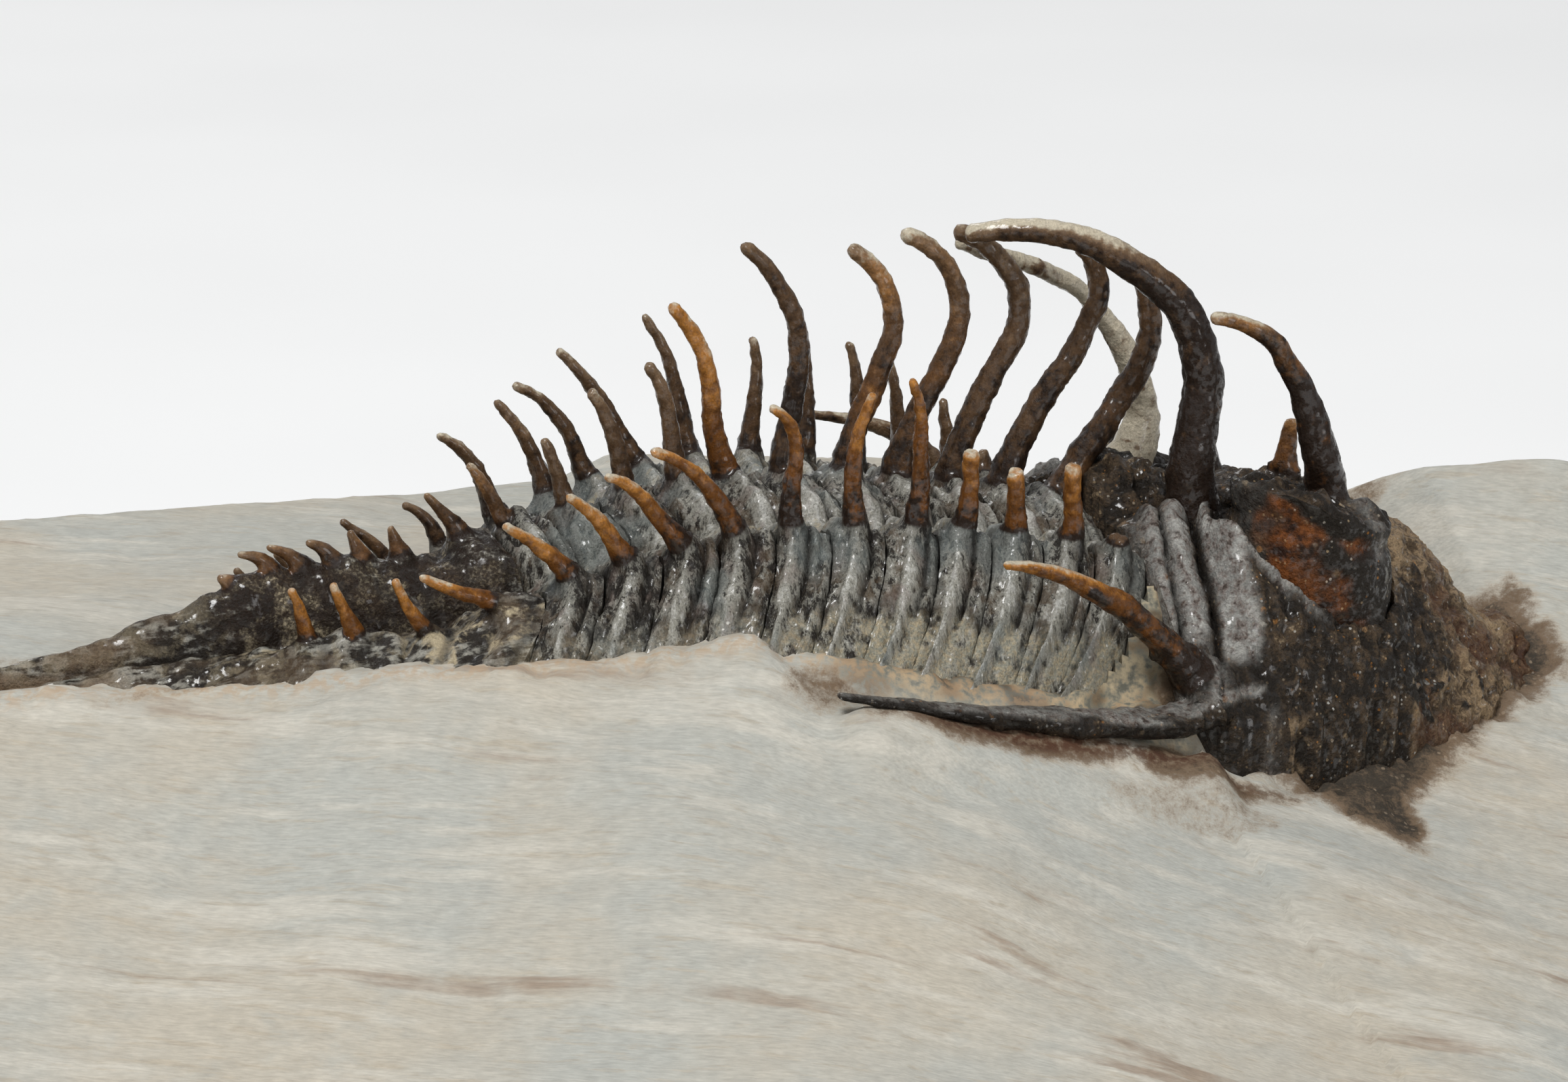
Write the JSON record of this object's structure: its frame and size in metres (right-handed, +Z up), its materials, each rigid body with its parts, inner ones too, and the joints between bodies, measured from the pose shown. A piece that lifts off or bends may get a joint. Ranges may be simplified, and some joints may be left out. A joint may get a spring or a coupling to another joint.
{
  "type": "fossil trilobite in matrix",
  "caption": "Spiny fossil trilobite, ringed thorax and horned head shield, arched over the flat-based block of pale limestone it lies in.",
  "frame": {"origin": "centre of the stone's flat base, on the surface that it rests on", "axes": "+X along the block's length towards the animal's head, +Y away from the side that is shown, +Z up from the base"},
  "size_m": [0.08, 0.058, 0.0361],
  "materials": {
    "limestone": "matt, pale warm grey limestone with brown stains",
    "cephalon": "dark brown-black calcite, finely granular",
    "thorax": "glassy grey calcite, half gloss",
    "pygidium": "mottled dark grey calcite with broken pale patches"
  },
  "bodies": {
    "root": {"matrix_stone": "limestone", "cephalon": "cephalon", "thorax_segment_01": "thorax", "thorax_segment_02": "thorax", "thorax_segment_03": "thorax", "thorax_segment_04": "thorax", "thorax_segment_05": "thorax", "thorax_segment_06": "thorax", "thorax_segment_07": "thorax", "thorax_segment_08": "thorax", "thorax_segment_09": "thorax", "thorax_segment_10": "thorax", "thorax_segment_11": "thorax", "pygidium": "pygidium"}
  },
  "joints": []
}
